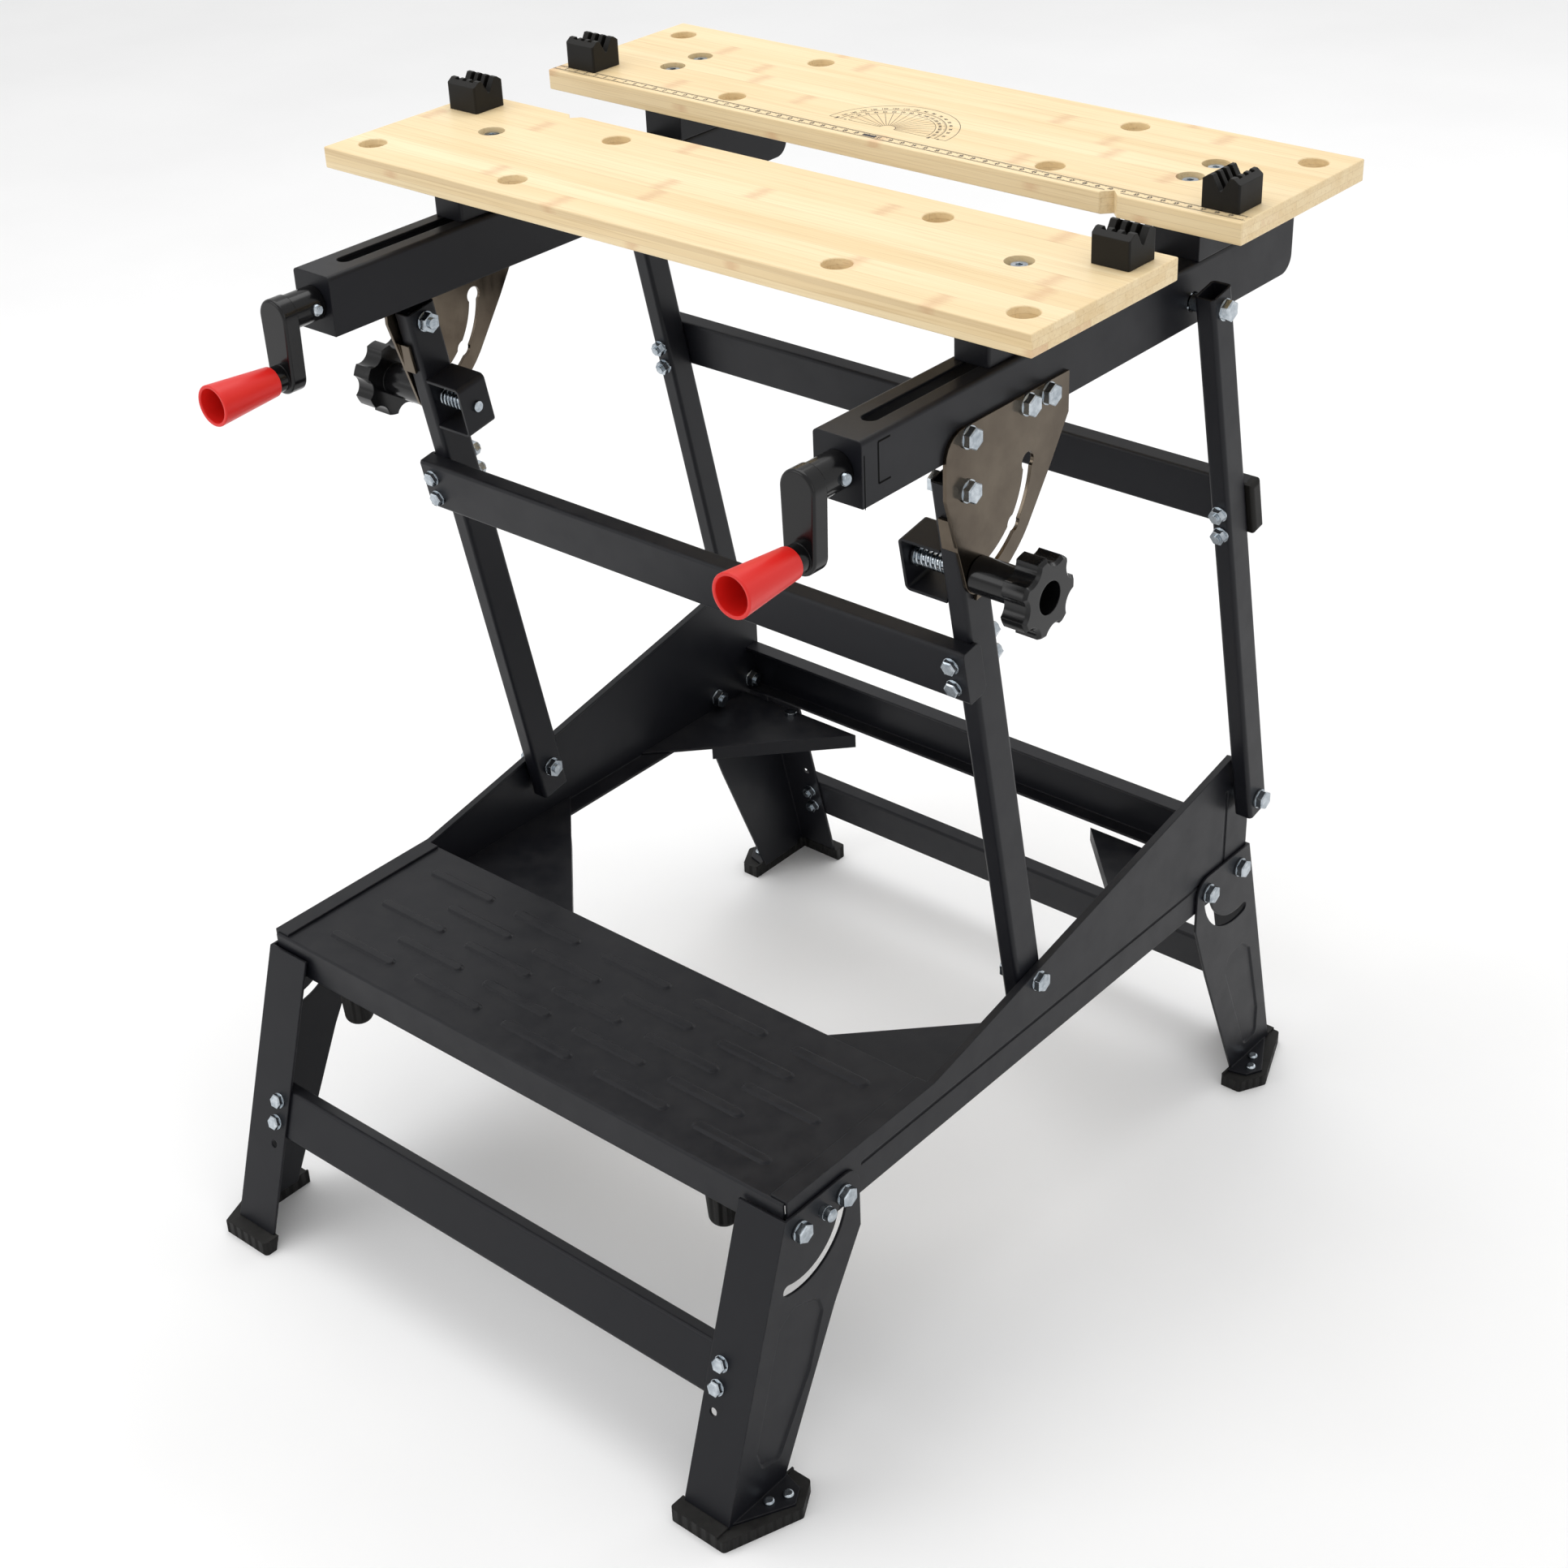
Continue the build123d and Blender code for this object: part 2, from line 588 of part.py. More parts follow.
def panel_edge():
    """The side panel's upper edge, front to back."""
    return [(panel_front, platform_height), (-110.0, platform_height), (260.0, panel_top + 81.0),
            (panel_rear, panel_top + 65.0)]


def side_panel():
    edge = panel_edge()
    corner = [(panel_rear - 16 + 16 * sin(radians(a)), panel_bottom + 16 - 16 * cos(radians(a)))
              for a in range(90, -1, -15)]
    outline = edge + corner + [(panel_front + 10, panel_bottom), (panel_front, panel_bottom + 10)]
    body = slab_x(outline, panel_inner, panel_face)
    lip = edge + [(y, z - sheet) for y, z in edge[::-1]]
    body += slab_x(lip, panel_inner - 3.6, panel_inner + 0.5)
    body += block((panel_face - platform_flange, panel_inner + 0.5), (panel_front, -112.0),
                  (panel_top, platform_height))
    body += block((panel_inner - 17, panel_inner + 0.5), (-100, 268), (panel_bottom, panel_bottom + sheet))
    body -= block((panel_face - 0.8, panel_face + 1), (-190, 230), (panel_bottom + 22.5, panel_bottom + 25.5))
    body -= block((panel_face - 0.8, panel_face + 1), (252, 256), (panel_bottom + 25, panel_bottom + 92))
    holes = [(*front_low, 4.1), (*rear_low, 4.1)]
    holes += [(front_leg_y, leg_z, 4.1), (rear_leg_y, leg_z, 4.1)]
    holes += [(front_leg_y + guide_radius, leg_z, 4.1), (rear_leg_y - guide_radius, leg_z, 4.1)]
    for y, z, r in holes:
        body -= rod_x(y, z, r, panel_inner - 1, panel_face + 1)
    return body


def platform():
    """Ribbed sheet under the panels' flanges, with a deep front skirt and a short rear one."""
    half = panel_inner - 0.5
    front = panel_front - sheet
    y = (front, front + platform_depth)
    top = block((-half, half), y, (panel_top - sheet, panel_top))
    low = platform_height - skirt_drop
    outline = [(-half, panel_top - 0.5), (half, panel_top - 0.5), (half, low + skirt_cut / 1.6),
               (half - skirt_cut, low), (-half + skirt_cut, low), (-half, low + skirt_cut / 1.6)]
    face = Plane.XZ * make_face(Polyline(*outline, close=True))
    skirt = Pos(0, front, 0) * extrude(face, sheet, dir=(0, 1, 0))
    hem = block((-half + skirt_cut + 1, half - skirt_cut - 1), (front, panel_front + 12), (low, low + sheet))
    tail = block((-half + 4, half - 4), (y[1] - sheet, y[1]), (platform_height - 14, panel_top - 0.5))
    body = top + skirt + hem + tail
    body = fillet([e for e in body.edges().filter_by(Axis.X)
                   if e.center().Z > panel_top - 0.1 and e.center().Y < front + 1], 1.8)
    for row in range(5):
        ribs = 5 if row % 2 == 0 else 4
        for i in range(ribs):
            x = (i - (ribs - 1) / 2) * tread_pitch[0]
            body += tread(x, front + platform_depth / 2 + (row - 2) * tread_pitch[1])
    return body


def tread(x, y):
    """Low raised rib with rounded ends, standing on the platform."""
    rib = extrude(Pos(x, y) * SlotOverall(68.0, 9.5), 1.6, taper=48)
    rib = fillet(rib.faces().sort_by(Axis.Z)[-1].edges(), 0.8)
    return Pos(0, 0, panel_top - 0.05) * rib


def rear_crossmember():
    half = panel_inner
    z = (panel_bottom + 4, panel_bottom + 46)
    body = block((-half, half), (rear_leg_y - 4, rear_leg_y + 10), z)
    return body - block((-half - 1, half + 1), (rear_leg_y - 5, rear_leg_y + 8), (z[0] + 2, z[1] - 2))


def gusset(corner, along_x, along_y):
    """Triangular plate on the panel's bottom flange with its long edge turned down."""
    x0, y0 = corner
    points = [(x0, y0), (x0, y0 + along_y), (x0 - along_x, y0)]
    z = panel_bottom + sheet
    body = slab_z(points, z, z + sheet)
    run = hypot(along_x, along_y)
    step = 2.0 / run
    near, far = 42.0 / along_x, 1.0
    a = (x0 - along_x * near, y0 + along_y * (1 - near))
    b = (x0 - along_x * far, y0 + along_y * (1 - far))
    inward = (along_y * step, along_x * step * (-1 if along_y > 0 else 1))
    ribs = [a, b, (b[0] + abs(inward[0]), b[1] + inward[1]), (a[0] + abs(inward[0]), a[1] + inward[1])]
    return body + slab_z(ribs, z - 10, z + 0.5)


def bumper():
    x, y = panel_face - 69.0, panel_front + 13.0
    body = extrude(Pos(x, y) * Circle(12.5), -31, taper=4)
    body = fillet(body.faces().sort_by(Axis.Z)[0].edges(), 6.5)
    return Pos(0, 0, platform_height - skirt_drop) * body


def base_bolts():
    y_gap = panel_face - front_post_x[0] + 0.3
    out = [from_side(m8(y_gap, 5.0), panel_face, *front_low)]
    spread = rear_post_x[1] + 0.3 - panel_inner
    rear = from_side(m8(spread), rear_post_x[1] + 0.3, *rear_low)
    out.append(rear + rod_x(*rear_low, 6.0, panel_face, rear_post_x[0] - 0.3))
    for y, step in ((front_leg_y, guide_radius), (rear_leg_y, -guide_radius)):
        grip_len = leg_x[1] + 0.3 - panel_inner
        out.append(from_side(m8(grip_len), leg_x[1] + 0.3, y, leg_z))
        guide = from_side(m8(grip_len), leg_x[1] + 0.3, y + step, leg_z)
        out.append(guide)
    screw = rod_z(*gusset_screw, 3.0, panel_bottom + sheet - 3, panel_bottom + sheet + 4)
    screw += rod_z(*gusset_screw, 5.0, panel_bottom + 2 * sheet, panel_bottom + 2 * sheet + 3)
    out.append(screw)
    return [b for piece in out for b in both(piece)]


# ---------------------------------------------------------------- legs
def leg_frame(y, lean, out):
    """Plane at a leg's pivot: Z up along the leg, Y rearward."""
    tilt = radians(lean)
    return Plane(origin=(0, y, leg_z), x_dir=(1, 0, 0), z_dir=(0, -out * sin(tilt), cos(tilt)))


def leg_points(lean, out, inner_edge):
    """Side plate's outline in the leg's frame, from world offsets of its inner edge."""
    tilt = radians(lean)
    plane = leg_plane + sheet
    bottom = -leg_z / cos(tilt) + plane * tan(tilt)
    points = [(out * plane, 34.0), (out * plane, bottom)]
    points.append((-out * 38.0, -205.0))
    points.append((-out * 58.0, -72.0))
    for dy, dz in inner_edge:
        n = out * dy * cos(tilt) + dz * sin(tilt)
        s = -out * dy * sin(tilt) + dz * cos(tilt)
        points.append((out * n, s))
    return points


def leg(y, lean, out, holes, spare):
    rise = 14.5
    reach = 62.0 if out < 0 else 59.0
    inner_edge = [(-out * reach, -38.0 if out < 0 else -30.0), (-out * reach, 40.0)]
    frame = leg_frame(y, lean, out)
    side = slab_x(leg_points(lean, out, inner_edge), *leg_x)
    plane = leg_plane * out
    flange_y = sorted((plane, plane + out * sheet))
    flange = block((leg_flange_x, leg_x[1]), flange_y, (-leg_z - 40, 34.0))
    body = frame * (side + flange)
    body -= block((0, 400), (y - 200, y + 200), (leg_z + rise, leg_z + 200))
    body -= block((0, 400), (y - 200, y + 200), (-100, 7.0))
    corner = [e for e in body.edges().filter_by(Axis.X) if e.length < sheet + 0.1
              and abs(e.center().Y - (y - out * reach)) < 1 and e.center().Z > leg_z]
    body = fillet(corner, 14.0)
    body += foot_tab(out)
    cut = (leg_x[0] - 1, leg_x[1] + 1)
    body -= rod_x(y, leg_z, pivot_hole_d / 2, *cut)
    fold = 90.0 + lean
    angles = (0.0, -fold) if out < 0 else (180.0, 180.0 + fold)
    body -= arc_slot((y, leg_z), guide_radius, 8.8, *sorted(angles), *cut)
    if out < 0:
        body -= rod_x(y + plunger_radius, leg_z, 3.1, *cut)
    body -= frame * pressed_panel(front_press if out < 0 else rear_press)
    for s in (*holes, spare):
        body -= frame * rod_y(leg_bolt_x, -s, 3.1, -30, 30)
    return body


# outlines of the pressed panels in the legs, in the leg's frame
front_press = [(-1, -74), (0, -170), (9, -184), (28, -183), (44, -120), (46, -74), (38, -62), (12, -60)]
rear_press = [(4, -94), (6, -168), (0, -194), (-18, -192), (-33, -92), (-26, -78), (-6, -80)]


def pressed_panel(outline):
    """Shallow recess with sloping sides, cut into the leg's outer face."""
    face = make_face(Polyline(*[(y, z) for y, z in outline], close=True))
    face = fillet(face.vertices(), 6.0)
    return Pos(leg_x[1], 0, 0) * extrude(Plane.YZ * face, -1.4, taper=50)


leg_bolt_x = leg_x[1] - 29.4
front_leg_holes, front_spare = (108.0, 126.0), 145.0
rear_leg_holes, rear_spare = (139.5, 157.5), 116.0


def pad_outline(out):
    """One foot's outline seen from above."""
    e = foot_reach
    x0 = leg_flange_x - 3.4
    return [(x0, out * e), (x0 + 48, out * e), (x0 + 70, out * (e - 57)), (x0 + 58, out * (e - 79)),
            (leg_x[0], out * (e - 79)), (leg_x[0], out * (e - 20)), (x0, out * (e - 20))]


def foot_tab(out):
    e = foot_reach
    x0 = leg_x[1] - 0.5
    points = [(x0, out * (e - 14)), (x0 + 22, out * (e - 55)),
              (x0 + 15, out * (e - 68)), (x0, out * (e - 72))]
    return slab_z(points, pad_height, pad_height + 2)


def foot_pad(y, lean, out, whole_leg):
    pad = slab_z(pad_outline(out), 0, pad_height + 2)
    corners = [e for e in pad.edges().filter_by(Axis.Z)
               if e.center().X > leg_x[1] or abs(e.center().Y) > foot_reach - 1]
    pad = fillet(corners, 3.0)
    side = leg_plane * out - out * 0.3
    behind = sorted((side, side - out * 80))
    pad -= leg_frame(y, lean, out) * block((0, leg_x[0] - 0.05), behind, (-300, 0))
    tab_room = block((leg_x[1] - 0.4, 400), (-400, 400), (pad_height, pad_height + 5))
    return pad - tab_room - whole_leg


def foot_screws(out):
    screws = []
    for dx, dy in ((6.5, 45.0), (12.5, 58.0)):
        x, y = leg_x[1] + dx, out * (foot_reach - dy)
        head = rod_z(x, y, 4.0, pad_height + 2, pad_height + 4.6)
        screws.append(fillet(head.edges().sort_by(Axis.Z)[-1], 1.6))
    return screws


def leg_bar(y, lean, out, at):
    height, depth, wall = upper_bar
    web = leg_plane * out if out < 0 else leg_plane + sheet
    bar = channel(leg_bar_half, depth, height, wall, -at, web, 1)
    for s in (at - 9, at + 9):
        for side in (-1, 1):
            bar -= rod_y(side * leg_bolt_x, -s, 3.1, web - 1, web + 3)
    return leg_frame(y, lean, out) * bar


def leg_bolts(y, lean, out, holes):
    """M6 bolts through the leg's flange and the bar's web, heads on the outside."""
    plane = leg_plane + sheet
    bolts = []
    for s in holes:
        if out < 0:
            piece = Pos(leg_bolt_x, -plane, -s) * Rot(-90, 0, 0) * m6(sheet + upper_bar[2])
        else:
            piece = Pos(leg_bolt_x, plane + upper_bar[2], -s) * Rot(90, 0, 0) * m6(sheet + upper_bar[2])
        bolts.append(leg_frame(y, lean, out) * piece)
    return bolts


def plunger_bush():
    """Short steel bush on the front leg that guides the lock plunger."""
    y = front_leg_y + plunger_radius
    return rod_x(y, leg_z, 5.2, leg_x[1], leg_x[1] + 4) - rod_x(y, leg_z, 3.1, leg_x[1] - 1, leg_x[1] + 5)


def plunger():
    y = front_leg_y + plunger_radius
    body = rod_x(y, leg_z, 3.0, leg_x[0] + 0.05, leg_x[1] + 6)
    head = rod_x(y, leg_z, 4.8, leg_x[1] + 4.3, leg_x[1] + 9)
    return body + chamfer(head.edges().sort_by(Axis.X)[-1], 0.8)


# ---------------------------------------------------------------- assemble and export
def export_pair(name, shape):
    right, left = both(shape)
    save(f"{name}_R", right)
    save(f"{name}_L", left)


front_axis = frame_along(front_low, front_high)
rear_axis = frame_along(rear_low, rear_high)

save("front_board", board(front_board_edge, (front_bolt_row,), rail_x, (-notch_x, front_board_back, -1)))
save("rear_board", board(rear_board_edge, rear_bolt_rows, rail_x, (notch_x, rear_board_edge, 1)))
dog_rows = (front_board_back - dog_hole_edge, rear_board_edge + dog_hole_edge)
save("dog_front_R", dog(dog_hole_x[0], dog_rows[0], False))
save("dog_front_L", dog(-dog_hole_x[0], dog_rows[0], False))
save("dog_rear_R", dog(dog_hole_x[0], dog_rows[1], True))
save("dog_rear_L", dog(-dog_hole_x[0], dog_rows[1], False))

export_pair("rail", rail())
save("rear_risers", *both(riser()))
export_pair("quadrant_plate", quadrant_plate())
save("top_bolts", *top_bolts())

export_pair("jaw_carrier", jaw_carrier())
save("spindle_nuts", *both(spindle_nut()))
jaw_bolt_length = bench_height - 7.0 - (spindle_z + nut_block[2] / 2 - 4.0)
save("jaw_bolts", *both(counterbored_bolt(rail_x, front_bolt_row, jaw_bolt_length, 0)))
export_pair("spindle", spindle())
for side, name in ((1, "R"), (-1, "L")):
    shift = Pos((side - 1) * rail_x, 0, 0)
    save(f"crank_arm_{name}", shift * crank_arm())
    save(f"crank_screws_{name}", *[shift * piece for piece in crank_screws()])
export_pair("grip", grip())

export_pair("front_post", front_axis * front_post_solid())
save("front_upper_bar", front_axis * front_upper_bar())
save("lock_brackets", *both(front_axis * lock_bracket()))
front_bolts = bar_bolts(front_post, front_post_x, front_bar_at, -1, upper_bar[1])
save("front_post_bolts", *[b for piece in front_bolts for b in both(front_axis * piece)])

export_pair("rear_post", rear_axis * rear_post_solid())
save("rear_upper_bar", rear_axis * rear_upper_bar())
save("bar_end_caps", *both(rear_axis * bar_end_cap()))
rear_bolts = [rear_axis * piece for piece in bar_bolts(rear_post, rear_post_x, rear_bar_at, 1, upper_bar[2])]
reach_in = rear_post_x[1] - (rail_face - rail_wall - 0.4)
high_bolt = from_side(m8(reach_in), rear_post_x[1], *rear_high)
high_bolt += rod_x(*rear_high, 6.0, rail_face + 0.4, rear_post_x[0])
rear_bolts.append(high_bolt)
save("rear_post_bolts", *[b for piece in rear_bolts for b in both(piece)])

export_pair("lock_knob", at_lock(lock_knob()))
export_pair("lock_stud", at_lock(lock_stud()))
export_pair("lock_spring", at_lock(lock_spring()))

export_pair("side_panel", side_panel())
save("platform", platform())
save("rear_crossmember", rear_crossmember())
save("gussets_front", *both(gusset((panel_inner, panel_front + 157.5), 152.0, 152.0)))
rear_gusset = gusset((panel_inner, 265.0), 128.0, -133.0)
rear_gusset -= rod_z(*gusset_screw, 3.05, panel_bottom, panel_bottom + 10)
save("gussets_rear", *both(rear_gusset))
save("bumpers", *both(bumper()))
save("base_bolts", *base_bolts())

front_leg = leg(front_leg_y, front_lean, -1, front_leg_holes, front_spare)
rear_leg = leg(rear_leg_y, rear_lean, 1, rear_leg_holes, rear_spare)
export_pair("front_leg", front_leg)
export_pair("rear_leg", rear_leg)
save("front_feet", *both(foot_pad(front_leg_y, front_lean, -1, front_leg)))
save("rear_feet", *both(foot_pad(rear_leg_y, rear_lean, 1, rear_leg)))
save("front_leg_bar", leg_bar(front_leg_y, front_lean, -1, sum(front_leg_holes) / 2))
save("rear_leg_bar", leg_bar(rear_leg_y, rear_lean, 1, sum(rear_leg_holes) / 2))
front_set = leg_bolts(front_leg_y, front_lean, -1, front_leg_holes) + foot_screws(-1) + [plunger_bush()]
rear_set = leg_bolts(rear_leg_y, rear_lean, 1, rear_leg_holes) + foot_screws(1)
save("front_leg_bolts", *[b for piece in front_set for b in both(piece)])
save("rear_leg_bolts", *[b for piece in rear_set for b in both(piece)])
export_pair("leg_plunger", plunger())
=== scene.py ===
import json
from math import cos, pi, radians, sin

import bmesh
import bpy
from mathutils import Matrix, Vector


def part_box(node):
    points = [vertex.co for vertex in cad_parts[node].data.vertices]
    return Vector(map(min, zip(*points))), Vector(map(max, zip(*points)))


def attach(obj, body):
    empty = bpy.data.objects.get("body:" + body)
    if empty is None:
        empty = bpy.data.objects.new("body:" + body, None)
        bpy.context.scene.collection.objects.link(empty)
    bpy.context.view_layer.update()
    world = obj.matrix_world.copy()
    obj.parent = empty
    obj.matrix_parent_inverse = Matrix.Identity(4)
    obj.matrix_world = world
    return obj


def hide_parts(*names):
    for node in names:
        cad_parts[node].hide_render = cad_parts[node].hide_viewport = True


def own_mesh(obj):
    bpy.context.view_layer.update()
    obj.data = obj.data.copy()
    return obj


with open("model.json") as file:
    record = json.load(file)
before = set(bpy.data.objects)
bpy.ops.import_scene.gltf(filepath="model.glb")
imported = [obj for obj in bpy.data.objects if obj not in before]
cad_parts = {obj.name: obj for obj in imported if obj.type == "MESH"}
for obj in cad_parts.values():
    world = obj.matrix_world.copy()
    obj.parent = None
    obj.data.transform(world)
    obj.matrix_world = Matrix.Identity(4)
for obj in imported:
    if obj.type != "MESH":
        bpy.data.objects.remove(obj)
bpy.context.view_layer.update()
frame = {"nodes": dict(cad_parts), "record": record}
nodes = frame["nodes"]
MM = 0.001


# ---------------------------------------------------------------- camera, light and floor
def make_camera():
    azimuth, elevation, roll = radians(41.71), radians(31.68), radians(-2.53)
    back = Vector((sin(azimuth) * cos(elevation), -cos(azimuth) * cos(elevation), sin(elevation)))
    right = Vector((cos(azimuth), sin(azimuth), 0.0))
    up = back.cross(right)
    side = right * cos(roll) + up * sin(roll)
    top = -right * sin(roll) + up * cos(roll)
    data = bpy.data.cameras.new("camera")
    data.sensor_width = 36.0
    data.lens = 58.575
    data.clip_end = 50.0
    camera = bpy.data.objects.new("camera", data)
    turned = Matrix((side, top, back)).transposed().to_4x4()
    camera.matrix_world = Matrix.Translation((1.089, -1.189, 1.326)) @ turned
    bpy.context.collection.objects.link(camera)
    bpy.context.scene.camera = camera


make_camera()


def area_light(name, place, aim, size, power):
    data = bpy.data.lights.new(name, "AREA")
    data.shape = "RECTANGLE"
    data.size, data.size_y = size
    data.energy = power
    lamp = bpy.data.objects.new(name, data)
    lamp.location = place
    lamp.rotation_euler = (Vector(aim) - Vector(place)).to_track_quat("-Z", "Y").to_euler()
    bpy.context.collection.objects.link(lamp)


def make_studio():
    middle = (0.0, 0.0, 0.4)
    area_light("overhead softbox", (-0.5, 0.3, 3.0), middle, (2.6, 2.2), 34.0)
    area_light("front softbox", (-1.8, -3.0, 1.9), middle, (2.2, 1.6), 20.0)
    area_light("right softbox", (3.2, -0.9, 1.4), middle, (1.2, 2.0), 5.0)
    area_light("rear strip", (0.6, 3.0, 1.8), middle, (2.0, 0.8), 9.0)
    world = bpy.data.worlds.new("studio")
    world.use_nodes = True
    sky = world.node_tree.nodes["Background"]
    sky.inputs["Color"].default_value = (1.0, 1.0, 1.0, 1.0)
    sky.inputs["Strength"].default_value = 0.80
    bpy.context.scene.world = world
    bpy.context.scene.view_settings.view_transform = "Standard"


make_studio()


# ---------------------------------------------------------------- node helpers
class Wires:
    """Short-hand for adding and joining nodes in one tree."""

    def __init__(self, tree):
        self.tree = tree

    def add(self, kind, values=(), **settings):
        node = self.tree.nodes.new("ShaderNode" + kind)
        for key, value in settings.items():
            setattr(node, key, value)
        for socket, value in dict(values).items():
            self.feed(node.inputs[socket], value)
        return node

    def feed(self, socket, value):
        if isinstance(value, bpy.types.NodeSocket):
            self.tree.links.new(value, socket)
        else:
            socket.default_value = value

    def math(self, operation, a, b=0.0, c=0.0, clamp=False):
        return self.add("Math", {0: a, 1: b, 2: c}, operation=operation, use_clamp=clamp).outputs[0]

    def noise(self, vector, scale, detail=2.0, roughness=0.5):
        values = {"Vector": vector, "Scale": scale, "Detail": detail, "Roughness": roughness}
        return self.add("TexNoise", values).outputs["Fac"]

    def spread(self, value, low, high, to_low=0.0, to_high=1.0):
        """Maps low..high to to_low..to_high, held at both ends."""
        values = {"Value": value, "From Min": low, "From Max": high, "To Min": to_low, "To Max": to_high}
        return self.add("MapRange", values).outputs["Result"]

    def mix(self, factor, a, b, blend="MIX"):
        node = self.add("Mix", data_type="RGBA", blend_type=blend)
        for socket, value in ((0, factor), (6, a), (7, b)):
            self.feed(node.inputs[socket], value)
        return node.outputs[2]

    def stretch(self, vector, scale, move=(0.0, 0.0, 0.0)):
        values = {"Vector": vector, "Scale": scale, "Location": move}
        return self.add("Mapping", values).outputs["Vector"]


def start_group(name, inputs, outputs):
    tree = bpy.data.node_groups.new(name, "ShaderNodeTree")
    for label, kind, value in inputs:
        socket = tree.interface.new_socket(name=label, in_out="INPUT", socket_type="NodeSocket" + kind)
        if value is not None:
            socket.default_value = value
    for label, kind in outputs:
        tree.interface.new_socket(name=label, in_out="OUTPUT", socket_type="NodeSocket" + kind)
    wires = Wires(tree)
    return tree, wires, tree.nodes.new("NodeGroupInput").outputs, tree.nodes.new("NodeGroupOutput").inputs


def use_group(wires, tree, values):
    node = wires.tree.nodes.new("ShaderNodeGroup")
    node.node_tree = tree
    for socket, value in values.items():
        wires.feed(node.inputs[socket], value)
    return node.outputs


# ---------------------------------------------------------------- shared surface effects
def coat_group():
    """Sprayed or moulded skin: fine pebble, slow tone drift, faint dust on upward faces."""
    tree, w, given, out = start_group(
        "coat skin",
        [("Point", "Vector", None), ("Tone", "Color", (0.02, 0.02, 0.02, 1)),
         ("Pebble Scale", "Float", 900.0), ("Roughness", "Float", 0.4), ("Drift", "Float", 0.25),
         ("Dust", "Float", 0.05)],
        [("Color", "Color"), ("Roughness", "Float"), ("Height", "Float")])
    slow = w.noise(given["Point"], 9.0, 3.0, 0.55)
    cloud = w.noise(given["Point"], 46.0, 4.0, 0.6)
    pebble = w.noise(given["Point"], given["Pebble Scale"], 2.0, 0.55)
    lift = w.math("MULTIPLY_ADD", w.math("SUBTRACT", slow, 0.5), given["Drift"], 1.0)
    grey = w.add("CombineXYZ", {0: lift, 1: lift, 2: lift}).outputs[0]
    tone = w.mix(1.0, given["Tone"], grey, "MULTIPLY")
    facing = w.add("SeparateXYZ", {0: w.add("NewGeometry").outputs["Normal"]}).outputs[2]
    settled = w.math("MULTIPLY", w.spread(facing, 0.6, 1.0), w.spread(cloud, 0.35, 0.75))
    dusty = w.math("MULTIPLY", settled, given["Dust"])
    w.feed(out["Color"], w.mix(dusty, tone, (0.42, 0.41, 0.39, 1.0)))
    rough = w.math("MULTIPLY_ADD", w.math("SUBTRACT", cloud, 0.5), 0.22, given["Roughness"])
    w.feed(out["Roughness"], w.math("ADD", rough, w.math("MULTIPLY", dusty, 0.6), clamp=True))
    w.feed(out["Height"], pebble)
    return tree


def edge_wear_group():
    """Mask that is 1 along convex edges, broken up by noise."""
    tree, w, given, out = start_group(
        "edge wear",
        [("Point", "Vector", None), ("Width", "Float", 0.0008), ("Amount", "Float", 0.5)],
        [("Mask", "Float"), ("Normal", "Vector")])
    soft = w.add("Bevel", {"Radius": given["Width"]}, samples=4).outputs[0]
    flat = w.add("NewGeometry").outputs["Normal"]
    turn = w.add("VectorMath", {0: soft, 1: flat}, operation="DOT_PRODUCT").outputs["Value"]
    edge = w.spread(turn, 0.995, 0.86)
    patchy = w.spread(w.noise(given["Point"], 160.0, 5.0, 0.65), 0.46, 0.62)
    w.feed(out["Mask"], w.math("MULTIPLY", w.math("MULTIPLY", edge, patchy), given["Amount"], clamp=True))
    w.feed(out["Normal"], soft)
    return tree


def plating_group():
    """Bright plated steel: cloudy tone, fine scratches along one axis."""
    tree, w, given, out = start_group(
        "plating",
        [("Point", "Vector", None), ("Bright", "Color", (0.75, 0.77, 0.8, 1)),
         ("Dull", "Color", (0.4, 0.42, 0.45, 1)), ("Roughness", "Float", 0.25),
         ("Streak", "Vector", (400.0, 60.0, 400.0)), ("Grain", "Float", 1.0)],
        [("Color", "Color"), ("Roughness", "Float"), ("Height", "Float")])
    cloud = w.noise(given["Point"], w.math("MULTIPLY", given["Grain"], 240.0), 4.0, 0.6)
    patch = w.noise(given["Point"], w.math("MULTIPLY", given["Grain"], 38.0), 3.0, 0.6)
    streak_at = w.add("VectorMath", {0: given["Point"], 1: given["Streak"]}, operation="MULTIPLY").outputs[0]
    streak = w.noise(streak_at, 1.0, 3.0, 0.6)
    blend = w.math("ADD", w.math("MULTIPLY", cloud, 0.5), w.math("MULTIPLY", patch, 0.5))
    w.feed(out["Color"], w.mix(w.spread(blend, 0.35, 0.65), given["Dull"], given["Bright"]))
    rough = w.math("MULTIPLY_ADD", w.math("SUBTRACT", streak, 0.5), 0.25, given["Roughness"])
    w.feed(out["Roughness"], w.math("MULTIPLY_ADD", w.math("SUBTRACT", patch, 0.5), 0.15, rough, clamp=True))
    w.feed(out["Height"], w.math("ADD", w.math("MULTIPLY", streak, 0.6), w.math("MULTIPLY", cloud, 0.4)))
    return tree


